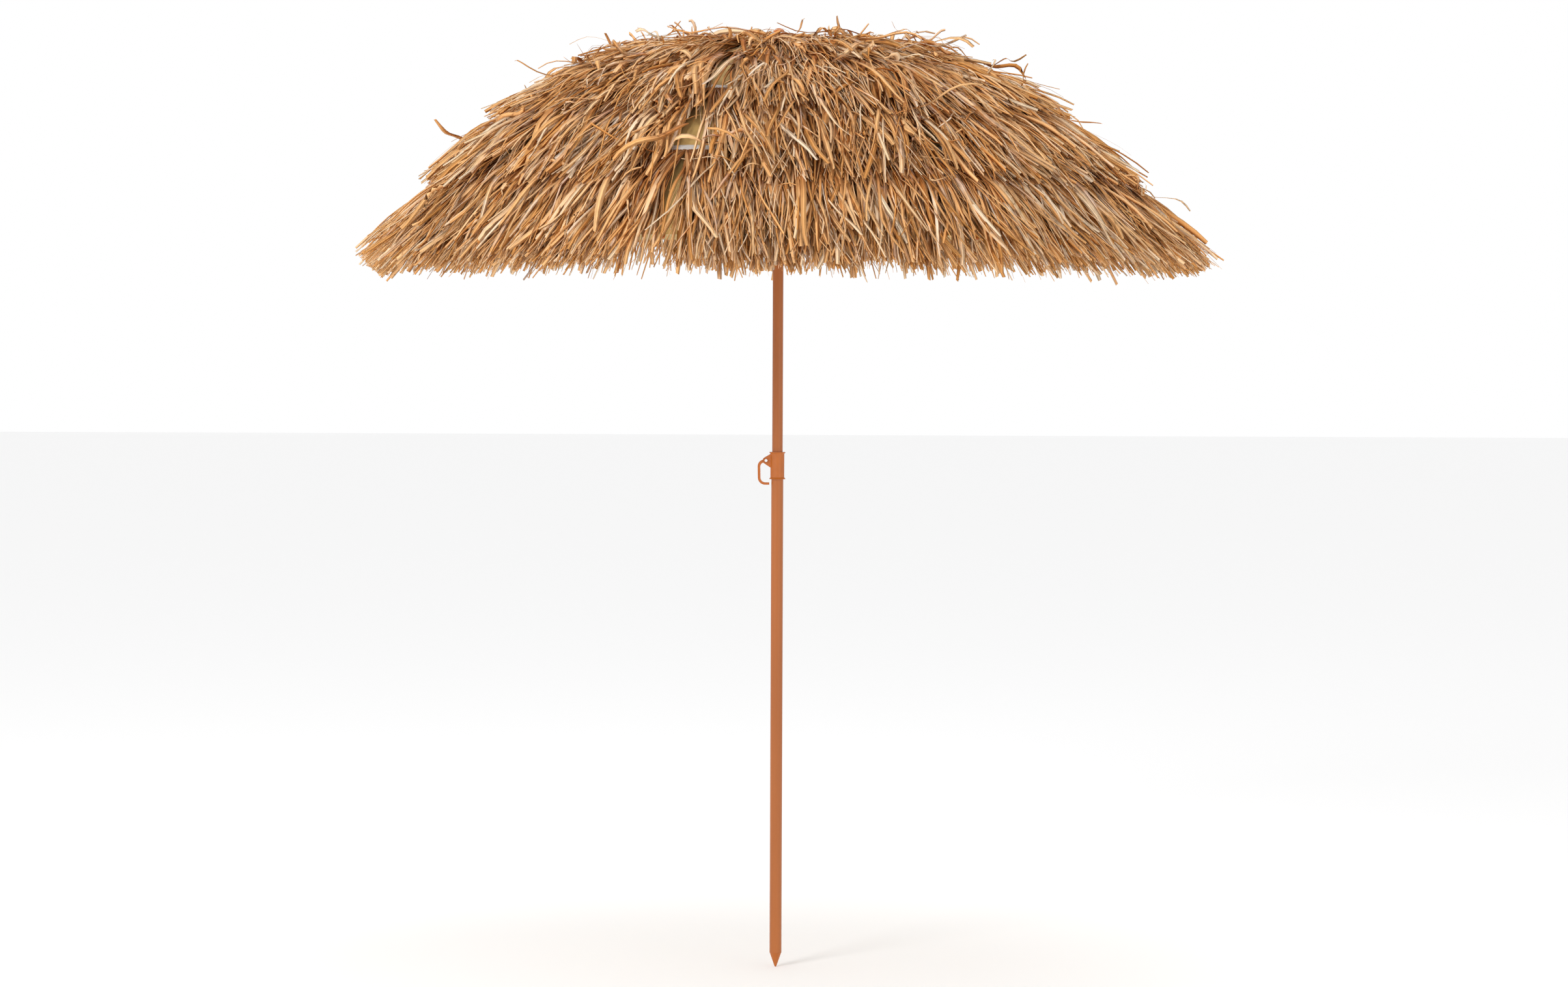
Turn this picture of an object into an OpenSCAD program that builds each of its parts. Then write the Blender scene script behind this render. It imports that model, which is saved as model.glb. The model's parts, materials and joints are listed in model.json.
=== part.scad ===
// Thatched beach umbrella: a two-tube pole with a hook-lever clamp, eight folding ribs with
// stretchers on a sliding runner, and a canopy of eight gores. Millimetres, +Z up, front at -Y.
// The origin is the point of the ground spike, on the pole's axis.

/* [Pole] */
// Outer diameter of the lower tube
lower_tube_d = 25; // [24:0.5:27]
// Wall of the lower tube
lower_tube_wall = 1.2; // [1:0.1:1.2]
// Height of the ground spike
spike_height = 30; // [20:1:60]
// Height at which the lower tube goes into the clamp collar
collar_base_z = 1018; // [900:1:1060]
// Outer diameter of the upper tube
upper_tube_d = 22; // [21:0.5:22]
// Wall of the upper tube
upper_tube_wall = 1; // [0.8:0.1:1.2]
// Length of upper tube that stays inside the lower tube when the pole is fully out
tube_overlap = 150; // [100:5:300]

/* [Clamp] */
// Height of the clamp collar
collar_height = 56; // [50:1:70]
// Outer diameter of the collar's body
collar_d = 29; // [28.5:0.5:31]
// Diameter of the collar's two flared lips
lip_d = 33.4; // [31:0.2:36]
// Distance of the lever's pivot from the pole's axis
lever_pivot_x = 23.6; // [23:0.2:26]
// Thickness of the lever across the pole
lever_thickness = 6; // [4:0.5:7]
// Width of the lever's hook, seen from the front
hook_width = 6.2; // [4:0.2:7]

/* [Ribs] */
// Height of the ribs' pivots at the crown
crown_z = 1918.5; // [1850:0.5:1950]
// Length of a rib along its curve
rib_length = 900; // [850:10:920]
// Diameter of a rib's rod
rib_d = 4; // [3:0.2:4]
// Slope of a rib where it leaves the crown, in degrees below level
rib_root_slope = 4; // [3:0.5:6]
// Slope of a rib at its tip, in degrees below level
rib_tip_slope = 48; // [44:0.5:50]
// Share of the rib's length at which it bends most
rib_bend_share = 0.38; // [0.34:0.01:0.5]
// Distance along the rib from its pivot to the stretcher's clip
clip_distance = 300; // [280:5:320]
// Diameter of a stretcher's rod
stretcher_d = 3.6; // [3:0.2:3.6]
// Angle that the ribs are turned round the pole, from the front
canopy_turn = 16; // [8:1:18]

/* [Canopy] */
// Thickness of a gore's shell
shell_thickness = 5; // [4:1:10]
// Radius of the fringe's lower edge at a rib
hem_radius = 900; // [880:5:920]
// Height of the fringe's lower edge at a rib
hem_rib_z = 1478; // [1465:1:1490]
// Height of the fringe's lower edge in the middle of a panel
hem_middle_z = 1437; // [1425:1:1450]
// Top of the finial above the ground spike's point
finial_top_z = 1950; // [1949:0.5:1953]

/* [Hidden] */
$fn = 64;
RIB_COUNT = 8;
POLE_NODES = ["lower_tube", "spike_tip", "clamp_collar", "lever_rivet", "clamp_lever", "guide_bushing",
    "upper_tube", "crown_hub", "crown_wire", "crown_plug", "thatch_cap", "crown_washer", "finial",
    "runner_stop_pin", "runner_catch", "runner", "runner_wire"];
RIB_KINDS = ["rib", "rib_clip", "rib_tip", "stretcher", "canopy_gore"];

TERRACOTTA = [0.78, 0.45, 0.25];
STEEL = [0.75, 0.75, 0.73];
ZINC = [0.66, 0.67, 0.68];
RAFFIA = [0.78, 0.62, 0.42];
KHAKI = [0.76, 0.65, 0.36];

// Tubes
lower_r = lower_tube_d / 2;
lower_bore_r = lower_r - lower_tube_wall;
upper_r = upper_tube_d / 2;
upper_bore_r = upper_r - upper_tube_wall;
running_gap = 0.06;
neck_gap = 0.2;
collar_top_z = collar_base_z + collar_height;
lip_height = 1;
flare_height = 2.5;
collar_cap_height = 6;
lower_tube_top_z = collar_top_z - collar_cap_height;
upper_tube_base_z = lower_tube_top_z - tube_overlap;
upper_tube_top_z = crown_z + 3.5;
spigot_length = 40;
bush_length = 30;
spike_point_r = 2.4;

// Clamp
pivot_z = collar_base_z + 38.4;
rivet_r = 4;
rivet_bore_r = 3;
rivet_head_r = 5.4;
rivet_head_height = 0.8;
ear_r = 7;
ear_thickness = 2;
ear_gap = lever_thickness + 0.6;
ear_root_x = lower_r + 0.5;
ear_top = collar_height - 3.2 - 38.4;
ear_bottom = -15.5;
boss_r = 6.4;
nose_reach = lever_pivot_x - upper_r - 0.15;
nose_half_height = 2.5;

// Crown and runner
pivot_ring_r = 22;
spreader_r = 26;
slot_root_r = 17;
slot_width = rib_d + 0.8;
wire_r = 1;
groove_half_height = 1.1;
hub_below = 10.5;
hub_slot_above = 3.5;
hub_above = 6.5;
hub_top_z = crown_z + hub_above;
plug_length = 32;
stud_r = 2.5;
cap_foot_r = 30;
cap_rim_r = 62;
washer_r = 15;
washer_height = 2;
finial_r = 13;
finial_ball_r = 13.6;
finial_base_z = finial_top_z - 9;
washer_base_z = finial_base_z - washer_height;
runner_flange_half = 6;
runner_sleeve_r = 15.5;
runner_above = 14;
runner_below = 26;
runner_grip_r = 16.8;
runner_grip_height = 3;

// Ribs, clips and stretchers
rib_r = rib_d / 2;
stretcher_r = stretcher_d / 2;
rib_step = 5;
rib_steps = rib_length / rib_step;
rib_sides = 8;
rib_ring_every = 50;
eye_r = 2.8;
eye_bore_r = 1.3;
eye_width = 4;
rivet_drop = 6;
clip_wall = 0.75;
clip_half_length = 8;
clip_rivet_r = 1.5;
clip_rivet_head_r = 2.6;
stretcher_eye_r = 3.3;
stretcher_eye_bore_r = clip_rivet_r + running_gap;
stretcher_eye_width = 3.6;
hook_drop = 3.3;
hook_back = 2.7;
finger_r = 1.2;
finger_above = 1.5;
tip_r = 3.6;
tip_bore_depth = 16;
tip_end = 6;

// Canopy
gore_half_angle = 22.2;
gore_columns = 4;
gore_start = 14;
gore_rows = 9;
fabric_lift = 2.6;
thatch_depths = [[0, 6], [290, 32], [470, 38], [720, 48], [900, 56]];
fringe_knee_share = 0.6;
panel_half_angle = 180 / RIB_COUNT;

// --- Rules of the ribs' curve and of the folding linkage, in the plane of radius and height ---

// Slope below level at a distance along the rib: its bend grows evenly, then fades evenly
function rib_slope(s) =
    let (
        bend_s = rib_bend_share * rib_length,
        bend_rate = 2 * (rib_tip_slope - rib_root_slope) / rib_length
    )
    s < bend_s
        ? rib_root_slope + bend_rate * s * s / (2 * bend_s)
        : rib_tip_slope - bend_rate * pow(rib_length - s, 2) / (2 * (rib_length - bend_s));

function along(slope) = [cos(slope), -sin(slope)];
function upward(slope) = [sin(slope), cos(slope)];

rib_line = [for (i = 0, p = [pivot_ring_r, crown_z]; i <= rib_steps;
    i = i + 1, p = p + rib_step * along(rib_slope((i - 0.5) * rib_step))) p];

function rib_point(s) =
    let (k = min(floor(s / rib_step), rib_steps - 1), part = s / rib_step - k)
    rib_line[k] * (1 - part) + rib_line[k + 1] * part;

function above_rib(s, lift) = rib_point(s) + lift * upward(rib_slope(s));

clip_slope = rib_slope(clip_distance);
rivet_point = above_rib(clip_distance, -rivet_drop);
link_length = norm(rivet_point - [pivot_ring_r, crown_z]);
runner_pivot_z = 2 * rivet_point[1] - crown_z;
runner_bottom_z = runner_pivot_z - runner_below;
runner_top_z = runner_pivot_z + runner_above;

// Direction of rib number i round the pole, counted from +X
function rib_turn(i) = -90 - canopy_turn + (i - 1) * 360 / RIB_COUNT;

// Tangent point on a circle from an outside point; side is 1 or -1
function tangent_point(centre, radius, from, side) =
    let (d = from - centre, turn = atan2(d[1], d[0]) + side * acos(radius / norm(d)))
    centre + radius * [cos(turn), sin(turn)];

function arc(centre, radius, from, to, count) =
    [for (k = [0:count]) let (a = from + (to - from) * k / count) centre + radius * [cos(a), sin(a)]];

function reversed(list) = [for (k = [len(list) - 1:-1:0]) list[k]];

// --- Small shared shapes ---

module tube(outer_r, inner_r, z_low, z_high) {
    translate([0, 0, z_low])
        difference() {
            cylinder(r = outer_r, h = z_high - z_low);
            translate([0, 0, -1])
                cylinder(r = inner_r, h = z_high - z_low + 2);
        }
}

// A cylinder along Y, centred on y = 0, at a point of the radius-height plane
module cross_pin(point, radius, width) {
    translate([point[0], 0, point[1]])
        rotate([90, 0, 0])
            cylinder(r = radius, h = width, center = true);
}

// A closed solid whose cross-sections are rings of equal count, one after another
module lofted(rings) {
    sides = len(rings[0]);
    last = len(rings) - 1;
    skin = [for (j = [0:last - 1], k = [0:sides - 1])
        let (a = j * sides + k, b = j * sides + (k + 1) % sides)
        each [[a, b, b + sides], [a, b + sides, a + sides]]];
    start_cap = [[for (k = [sides - 1:-1:0]) k]];
    end_cap = [[for (k = [0:sides - 1]) last * sides + k]];
    polyhedron(points = [for (ring = rings) each ring], faces = concat(skin, start_cap, end_cap));
}

// A closed shell between an outer and an inner grid of points of the same size
module shell_between(outer, inner) {
    last = len(outer) - 1;
    side_last = len(outer[0]) - 1;
    size = (last + 1) * (side_last + 1);
    function at(j, k) = j * (side_last + 1) + k;
    outer_faces = [for (j = [0:last - 1], k = [0:side_last - 1])
        each [[at(j, k), at(j, k + 1), at(j + 1, k + 1)], [at(j, k), at(j + 1, k + 1), at(j + 1, k)]]];
    inner_faces = [for (face = outer_faces) [for (v = reversed(face)) size + v]];
    rim = concat([for (k = [0:side_last]) at(0, k)], [for (j = [1:last]) at(j, side_last)],
        [for (k = [side_last - 1:-1:0]) at(last, k)], [for (j = [last - 1:-1:1]) at(j, 0)]);
    rim_faces = [for (n = [0:len(rim) - 1])
        let (a = rim[n], b = rim[(n + 1) % len(rim)])
        each [[b, a, size + a], [b, size + a, size + b]]];
    points = concat([for (line = outer) each line], [for (line = inner) each line]);
    polyhedron(points = points, faces = concat(outer_faces, inner_faces, rim_faces));
}

// Eight radial slots for the ends of the ribs or stretchers
module spreader_slots(z_low, z_high) {
    for (i = [1:RIB_COUNT])
        rotate([0, 0, rib_turn(i)])
            translate([slot_root_r, -slot_width / 2, z_low])
                cube([spreader_r, slot_width, z_high - z_low]);
}

// The groove round a spreader in which its wire lies
module wire_groove(z) {
    tube(spreader_r + 1, pivot_ring_r - wire_r - 0.05, z - groove_half_height, z + groove_half_height);
}

module wire_ring(z) {
    translate([0, 0, z])
        rotate_extrude()
            translate([pivot_ring_r, 0])
                circle(r = wire_r, $fn = 24);
}

// --- Lower pole and clamp ---

module lower_tube() {
    color(TERRACOTTA)
        difference() {
            union() {
                tube(lower_r, lower_bore_r, spike_height, collar_base_z);
                tube(lower_r - neck_gap, lower_bore_r, collar_base_z, lower_tube_top_z);
            }
            nose_window();
        }
}

module spike_tip() {
    slope_start = [lower_r - 0.3, spike_height];
    color(TERRACOTTA)
        rotate_extrude()
            polygon(concat(
                [[0, spike_height + spigot_length], [lower_bore_r, spike_height + spigot_length],
                 [lower_bore_r, spike_height], slope_start],
                arc([0, spike_point_r], spike_point_r, -18, -90, 6)));
}

// The opening through collar and tube behind the lever's nose
module nose_window() {
    translate([-lever_pivot_x, -ear_gap / 2, pivot_z - nose_reach - 1.5])
        cube([lever_pivot_x, ear_gap, nose_reach + nose_half_height + 3.5]);
}

module ear_outline() {
    pivot = [-lever_pivot_x, pivot_z];
    top_root = [-ear_root_x, pivot_z + ear_top];
    bottom_root = [-ear_root_x, pivot_z + ear_bottom];
    difference() {
        union() {
            polygon([top_root, tangent_point(pivot, ear_r, top_root, 1), pivot,
                tangent_point(pivot, ear_r, bottom_root, -1), bottom_root]);
            translate(pivot)
                circle(r = ear_r);
        }
        translate(pivot)
            circle(r = rivet_r);
    }
}

module clamp_collar() {
    collar_r = collar_d / 2;
    lip_r = lip_d / 2;
    profile = [
        [lower_r - neck_gap, collar_base_z], [lip_r, collar_base_z], [lip_r, collar_base_z + lip_height],
        [collar_r, collar_base_z + lip_height + flare_height],
        [collar_r, collar_top_z - lip_height - flare_height],
        [lip_r, collar_top_z - lip_height], [lip_r, collar_top_z], [lower_bore_r, collar_top_z],
        [lower_bore_r, lower_tube_top_z], [lower_r - neck_gap, lower_tube_top_z]];
    color(TERRACOTTA) {
        difference() {
            rotate_extrude()
                polygon(profile);
            nose_window();
        }
        for (side = [-1, 1])
            translate([0, side * (ear_gap + ear_thickness) / 2, 0])
                rotate([90, 0, 0])
                    linear_extrude(ear_thickness, center = true)
                        ear_outline();
    }
}

module lever_rivet() {
    shank = ear_gap + 2 * ear_thickness;
    pivot = [-lever_pivot_x, pivot_z];
    color(TERRACOTTA)
        difference() {
            union() {
                cross_pin(pivot, rivet_r, shank);
                for (side = [-1, 1])
                    translate([0, side * (shank + rivet_head_height) / 2, 0])
                        cross_pin(pivot, rivet_head_r, rivet_head_height);
            }
            cross_pin(pivot, rivet_bore_r, 2 * shank);
        }
}

// The middle line of the hook: out from the pivot, down, and back under the collar to its tip
function hook_line() =
    let (upper = [-27, pivot_z - 12.2], lower = [-25.2, collar_base_z + 3.2])
    concat(arc(upper, 11.2, 97, 180, 6), arc(lower, 12.6, 184, 270, 7), [[-16.6, lower[1] - 12.6]]);

module hook_outline() {
    line = hook_line();
    last = len(line) - 1;
    function heading(k) = line[min(k + 1, last)] - line[max(k - 1, 0)];
    function side_point(k, side) =
        let (h = heading(k) / norm(heading(k)), half = (hook_width - 1.4 * k / last) / 2)
        line[k] + side * half * [-h[1], h[0]];
    polygon(concat([for (k = [0:last]) side_point(k, 1)], [for (k = [last:-1:0]) side_point(k, -1)]));
}

module clamp_lever() {
    pivot = [-lever_pivot_x, pivot_z];
    color(TERRACOTTA)
        difference() {
            union() {
                cross_pin(pivot, boss_r, lever_thickness);
                translate([pivot[0], -lever_thickness / 2, pivot[1] - nose_half_height])
                    cube([nose_reach - 0.3, lever_thickness, 2 * nose_half_height]);
                rotate([90, 0, 0])
                    linear_extrude(lever_thickness, center = true)
                        hook_outline();
            }
            cross_pin(pivot, rivet_r + running_gap, 2 * lever_thickness);
        }
}

// --- Upper pole ---

module guide_bushing() {
    color(ZINC) {
        translate([0, 0, upper_tube_base_z - bush_length - 0.2])
            cylinder(r = lower_bore_r - running_gap, h = bush_length);
        translate([0, 0, upper_tube_base_z - 1])
            cylinder(r = upper_bore_r - running_gap, h = spigot_length);
    }
}

module upper_tube() {
    color(TERRACOTTA)
        difference() {
            tube(upper_r, upper_bore_r, upper_tube_base_z, upper_tube_top_z);
            stop_pin_rod(clip_rivet_r);
            catch_window();
        }
}

module crown_hub() {
    color(TERRACOTTA)
        difference() {
            tube(spreader_r, upper_r, crown_z - hub_below, hub_top_z);
            spreader_slots(crown_z - hub_below - 1, crown_z + hub_slot_above);
            wire_groove(crown_z);
        }
}

module crown_wire() {
    color(ZINC)
        wire_ring(crown_z);
}

module crown_plug() {
    color(ZINC) {
        translate([0, 0, upper_tube_top_z - plug_length])
            cylinder(r = upper_bore_r, h = plug_length);
        translate([0, 0, upper_tube_top_z - 1])
            cylinder(r = stud_r, h = finial_base_z + 4 - upper_tube_top_z + 1);
    }
}

module thatch_cap() {
    foot_z = hub_top_z + 0.2;
    color(RAFFIA)
        rotate_extrude()
            polygon([[stud_r, foot_z], [cap_foot_r, foot_z], [cap_foot_r, foot_z + 8], [cap_rim_r, foot_z + 5.5],
                [cap_rim_r, foot_z + 9], [cap_foot_r + 4, washer_base_z], [stud_r, washer_base_z]]);
}

module crown_washer() {
    color(ZINC)
        tube(washer_r, stud_r, washer_base_z, finial_base_z);
}

module finial() {
    color(TERRACOTTA)
        difference() {
            intersection() {
                translate([0, 0, finial_top_z - finial_ball_r])
                    sphere(r = finial_ball_r);
                translate([0, 0, finial_base_z])
                    cylinder(r = finial_r, h = finial_ball_r);
            }
            translate([0, 0, finial_base_z - 1])
                cylinder(r = stud_r, h = 5);
        }
}

// --- Runner, its stop and its spring catch ---

module stop_pin_rod(radius) {
    translate([0, 0, runner_top_z + radius + 0.5])
        rotate([0, 90, 0])
            cylinder(r = radius, h = 2 * upper_r + 6, center = true);
}

module runner_stop_pin() {
    color(ZINC)
        stop_pin_rod(clip_rivet_r);
}

module catch_window() {
    translate([-1.8, -upper_r - 1, runner_bottom_z - 30])
        cube([3.6, upper_r + 1, 30]);
}

// A sprung tongue through the tube's front wall; its flat top holds the open runner up
module runner_catch() {
    top_z = runner_bottom_z - 0.4;
    color(ZINC)
        translate([-1.5, 0, 0])
            rotate([90, 0, 90])
                linear_extrude(3)
                    polygon([[-4, top_z], [-14.5, top_z], [-14.5, top_z - 2.5], [-upper_r + 0.3, top_z - 22],
                        [-upper_r + 0.3, top_z - 28], [-4, top_z - 28]]);
}

module runner() {
    color(TERRACOTTA)
        difference() {
            union() {
                translate([0, 0, runner_bottom_z])
                    cylinder(r = runner_sleeve_r, h = runner_below + runner_above);
                translate([0, 0, runner_bottom_z])
                    cylinder(r = runner_grip_r, h = runner_grip_height);
                translate([0, 0, runner_pivot_z - runner_flange_half])
                    cylinder(r = spreader_r, h = 2 * runner_flange_half);
            }
            translate([0, 0, runner_bottom_z - 1])
                cylinder(r = upper_r + running_gap, h = runner_below + runner_above + 2);
            spreader_slots(runner_pivot_z - runner_flange_half - 1, runner_pivot_z + runner_flange_half + 1);
            wire_groove(runner_pivot_z);
        }
}

module runner_wire() {
    color(ZINC)
        wire_ring(runner_pivot_z);
}

// --- Ribs, clips, tips and stretchers, each drawn in the plane y = 0 and turned into place ---

module rib(i) {
    stations = concat([1.8], [for (s = [rib_ring_every:rib_ring_every:rib_length]) s]);
    rings = [for (s = stations)
        let (p = rib_point(s), up = upward(rib_slope(s)))
        [for (k = [0:rib_sides - 1])
            let (a = 360 * (k + 0.5) / rib_sides, q = p + rib_r * cos(a) * up)
            [q[0], rib_r * sin(a), q[1]]]];
    color(STEEL)
        rotate([0, 0, rib_turn(i)])
            difference() {
                union() {
                    lofted(rings);
                    cross_pin([pivot_ring_r, crown_z], eye_r, eye_width);
                }
                cross_pin([pivot_ring_r, crown_z], eye_bore_r, 2 * eye_width);
            }
}

// A folded saddle over the rib, with the rivet on which the stretcher turns
module rib_clip(i) {
    inner = rib_d + 0.3;
    outer = inner + 2 * clip_wall;
    color(ZINC)
        rotate([0, 0, rib_turn(i)])
            translate([rib_point(clip_distance)[0], 0, rib_point(clip_distance)[1]])
                rotate([0, clip_slope, 0]) {
                    difference() {
                        translate([-clip_half_length, -outer / 2, -rivet_drop - 3])
                            cube([2 * clip_half_length, outer, rivet_drop + 3 + rib_r + 0.15 + clip_wall]);
                        translate([-clip_half_length - 1, -inner / 2, -rivet_drop - 4])
                            cube([2 * clip_half_length + 2, inner, rivet_drop + 4 + rib_r + 0.15]);
                    }
                    cross_pin([0, -rivet_drop], clip_rivet_r, outer);
                    for (side = [-1, 1])
                        translate([0, side * (outer + 0.7) / 2, 0])
                            cross_pin([0, -rivet_drop], clip_rivet_head_r, 0.8);
                }
}

module rib_tip(i) {
    start = rib_point(rib_length - tip_bore_depth);
    bore_r = rib_r + 0.15;
    color(TERRACOTTA)
        rotate([0, 0, rib_turn(i)])
            translate([start[0], 0, start[1]])
                rotate([0, 90 + rib_tip_slope, 0])
                    difference() {
                        union() {
                            cylinder(r = tip_r, h = tip_bore_depth + tip_end - tip_r);
                            translate([0, 0, tip_bore_depth + tip_end - tip_r])
                                sphere(r = tip_r);
                        }
                        translate([0, 0, -1])
                            cylinder(r = bore_r, h = tip_bore_depth + 1.3);
                    }
}

// A straight rod with a drilled eye on the clip's rivet and an open hook under the runner's wire
module stretcher(i) {
    hook = [pivot_ring_r - hook_back, runner_pivot_z - hook_drop];
    reach = rivet_point - hook;
    color(STEEL)
        rotate([0, 0, rib_turn(i)])
            difference() {
                union() {
                    translate([hook[0], 0, hook[1]])
                        rotate([0, atan2(reach[0], reach[1]), 0])
                            cylinder(r = stretcher_r, h = norm(reach) - stretcher_eye_bore_r - 0.5, $fn = 24);
                    translate([hook[0], 0, hook[1]])
                        sphere(r = stretcher_r, $fn = 24);
                    translate([hook[0], 0, hook[1]])
                        cylinder(r = finger_r, h = hook_drop + finger_above, $fn = 24);
                    cross_pin(rivet_point, stretcher_eye_r, stretcher_eye_width);
                }
                cross_pin(rivet_point, stretcher_eye_bore_r, 2 * stretcher_eye_width);
            }
}

// --- Canopy: thatch and fabric together, as a thin shell over each rib ---

// Stations of the shell's outer side (depth 0) or inner side, from the crown down to the hem
function gore_line(hem_z, depth) =
    let (
        edge = above_rib(rib_length, fabric_lift + lookup(rib_length, thatch_depths)),
        knee = [edge[0] + fringe_knee_share * (hem_radius - edge[0]) + 6,
            edge[1] + fringe_knee_share * (hem_middle_z - edge[1])],
        stations = [for (k = [0:gore_rows]) gore_start + (rib_length - gore_start) * k / gore_rows]
    )
    concat(
        [for (s = stations)
            above_rib(s, max(fabric_lift + lookup(s, thatch_depths) - depth, fabric_lift))],
        [knee - [depth, 0], [hem_radius - depth, hem_z]]
    );

// Panels are straight between ribs, so the radius shrinks away from the rib
function panel_scale(turn) = cos(panel_half_angle) / cos(panel_half_angle - abs(turn));

function gore_grid(depth) = [for (k = [0:gore_columns])
    let (
        turn = gore_half_angle * (2 * k / gore_columns - 1),
        hem_z = hem_rib_z + (hem_middle_z - hem_rib_z) * abs(turn) / gore_half_angle,
        shrink = panel_scale(turn)
    )
    [for (p = gore_line(hem_z, depth)) [p[0] * shrink * cos(turn), p[0] * shrink * sin(turn), p[1]]]];

module canopy_gore(i) {
    color(i % 2 == 0 ? KHAKI : RAFFIA)
        rotate([0, 0, rib_turn(i)])
            shell_between(gore_grid(0), gore_grid(shell_thickness));
}

lower_tube();
spike_tip();
clamp_collar();
lever_rivet();
clamp_lever();
guide_bushing();
upper_tube();
crown_hub();
crown_wire();
crown_plug();
thatch_cap();
crown_washer();
finial();
runner_stop_pin();
runner_catch();
runner();
runner_wire();
for (i = [1:RIB_COUNT]) {
    rib(i);
    rib_clip(i);
    rib_tip(i);
    stretcher(i);
    canopy_gore(i);
}
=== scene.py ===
"""The looks of a thatched beach umbrella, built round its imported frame.

Everything is in metres, +Z up, with the front at -Y and the ground spike's point on the origin.
"""

import json
import logging
import math
from collections.abc import Callable, Sequence
from dataclasses import dataclass, field
from enum import Enum

import bmesh
import bpy
import numpy as np
from mathutils import Matrix, Vector


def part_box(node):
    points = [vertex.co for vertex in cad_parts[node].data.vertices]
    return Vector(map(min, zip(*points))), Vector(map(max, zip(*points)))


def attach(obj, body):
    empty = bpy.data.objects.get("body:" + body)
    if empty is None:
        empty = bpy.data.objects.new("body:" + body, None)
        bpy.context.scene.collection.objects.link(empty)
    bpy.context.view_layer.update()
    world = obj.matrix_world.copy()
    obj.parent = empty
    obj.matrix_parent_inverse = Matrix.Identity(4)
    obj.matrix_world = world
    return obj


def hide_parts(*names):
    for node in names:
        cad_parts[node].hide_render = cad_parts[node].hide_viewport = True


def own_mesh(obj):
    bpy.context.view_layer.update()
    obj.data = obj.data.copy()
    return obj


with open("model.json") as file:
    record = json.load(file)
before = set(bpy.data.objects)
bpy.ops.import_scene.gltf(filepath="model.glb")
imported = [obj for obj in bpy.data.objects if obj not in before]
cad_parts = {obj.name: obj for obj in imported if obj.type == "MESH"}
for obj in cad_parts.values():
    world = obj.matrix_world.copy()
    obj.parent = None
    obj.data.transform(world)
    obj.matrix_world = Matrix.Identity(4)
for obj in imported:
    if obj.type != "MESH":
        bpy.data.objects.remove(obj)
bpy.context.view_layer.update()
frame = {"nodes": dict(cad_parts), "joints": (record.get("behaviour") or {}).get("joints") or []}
log = logging.getLogger("umbrella")

RIB_NUMBERS = range(1, 9)
HALF_PANEL = math.pi / 8
JOINTS = {joint["name"]: joint for joint in frame["joints"]}
BLACK = (0.0, 0.0, 0.0)
WHITE = (1.0, 1.0, 1.0)


class Side(Enum):
    """The half panel on one side of a rib, as a sign of the turn round the pole."""

    LEFT = -1
    RIGHT = 1


# --- Node trees ---------------------------------------------------------------------------


@dataclass
class Tree:
    """A node tree being filled in, with short calls for its nodes and wires."""

    nodes: bpy.types.NodeTree

    def add(self, kind: str, inputs: dict | None = None, **settings: object) -> bpy.types.Node:
        """Add a node.

        Args:
            kind: The node's type name.
            inputs: Values or output sockets, by input name or number.
            settings: The node's own properties.

        Returns:
            The new node.
        """
        node = self.nodes.nodes.new(kind)
        for name, value in settings.items():
            setattr(node, name, value)
        for name, value in (inputs or {}).items():
            self.feed(node.inputs[name], value)
        return node

    def feed(self, socket: bpy.types.NodeSocket, value: object) -> None:
        """Wire an output socket to an input, or set the input's own value."""
        if isinstance(value, bpy.types.NodeSocket):
            self.nodes.links.new(value, socket)
        else:
            socket.default_value = value

    def math(self, operation: str, first: object, second: object = 0.0) -> bpy.types.NodeSocket:
        """Add one step of arithmetic and return its result."""
        kind = "ShaderNodeMath"
        return self.add(kind, {0: first, 1: second}, operation=operation).outputs[0]

    def vector(self, operation: str, first: object, second: object = None) -> bpy.types.NodeSocket:
        """Add one step of vector arithmetic and return its vector."""
        inputs = {0: first} if second is None else {0: first, 1: second}
        return self.add("ShaderNodeVectorMath", inputs, operation=operation).outputs[0]

    def scaled(self, vector: object, factor: object) -> bpy.types.NodeSocket:
        """Scale a vector by a number and return it."""
        inputs = {"Vector": vector, "Scale": factor}
        return self.add("ShaderNodeVectorMath", inputs, operation="SCALE").outputs[0]

    def ramp(self, factor: object, stops: Sequence[tuple[float, tuple]]) -> bpy.types.NodeSocket:
        """Add a colour ramp.

        Args:
            factor: What the ramp reads.
            stops: Places from 0 to 1 with their colours.

        Returns:
            The ramp's colour.
        """
        node = self.add("ShaderNodeValToRGB", {"Fac": factor})
        points = node.color_ramp.elements
        while len(points) < len(stops):
            points.new(0.5)
        for point, (place, colour) in zip(points, stops):
            point.position = place
            point.color = (*colour, 1.0)
        return node.outputs["Color"]

    def mix(self, factor: object, first: object, second: object, blend: str = "MIX") -> bpy.types.NodeSocket:
        """Mix two colours and return the result."""
        node = self.add("ShaderNodeMix", data_type="RGBA", blend_type=blend)
        for index, value in ((0, factor), (6, first), (7, second)):
            self.feed(node.inputs[index], value)
        return node.outputs[2]


def group_inputs(tree: bpy.types.NodeTree, sockets: Sequence[tuple[str, str, object]]) -> None:
    """Give a node tree its named inputs.

    Args:
        tree: The tree.
        sockets: Names, socket types and default values.
    """
    for name, kind, default in sockets:
        socket = tree.interface.new_socket(name=name, in_out="INPUT", socket_type=kind)
        if default is not None:
            socket.default_value = default


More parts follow.
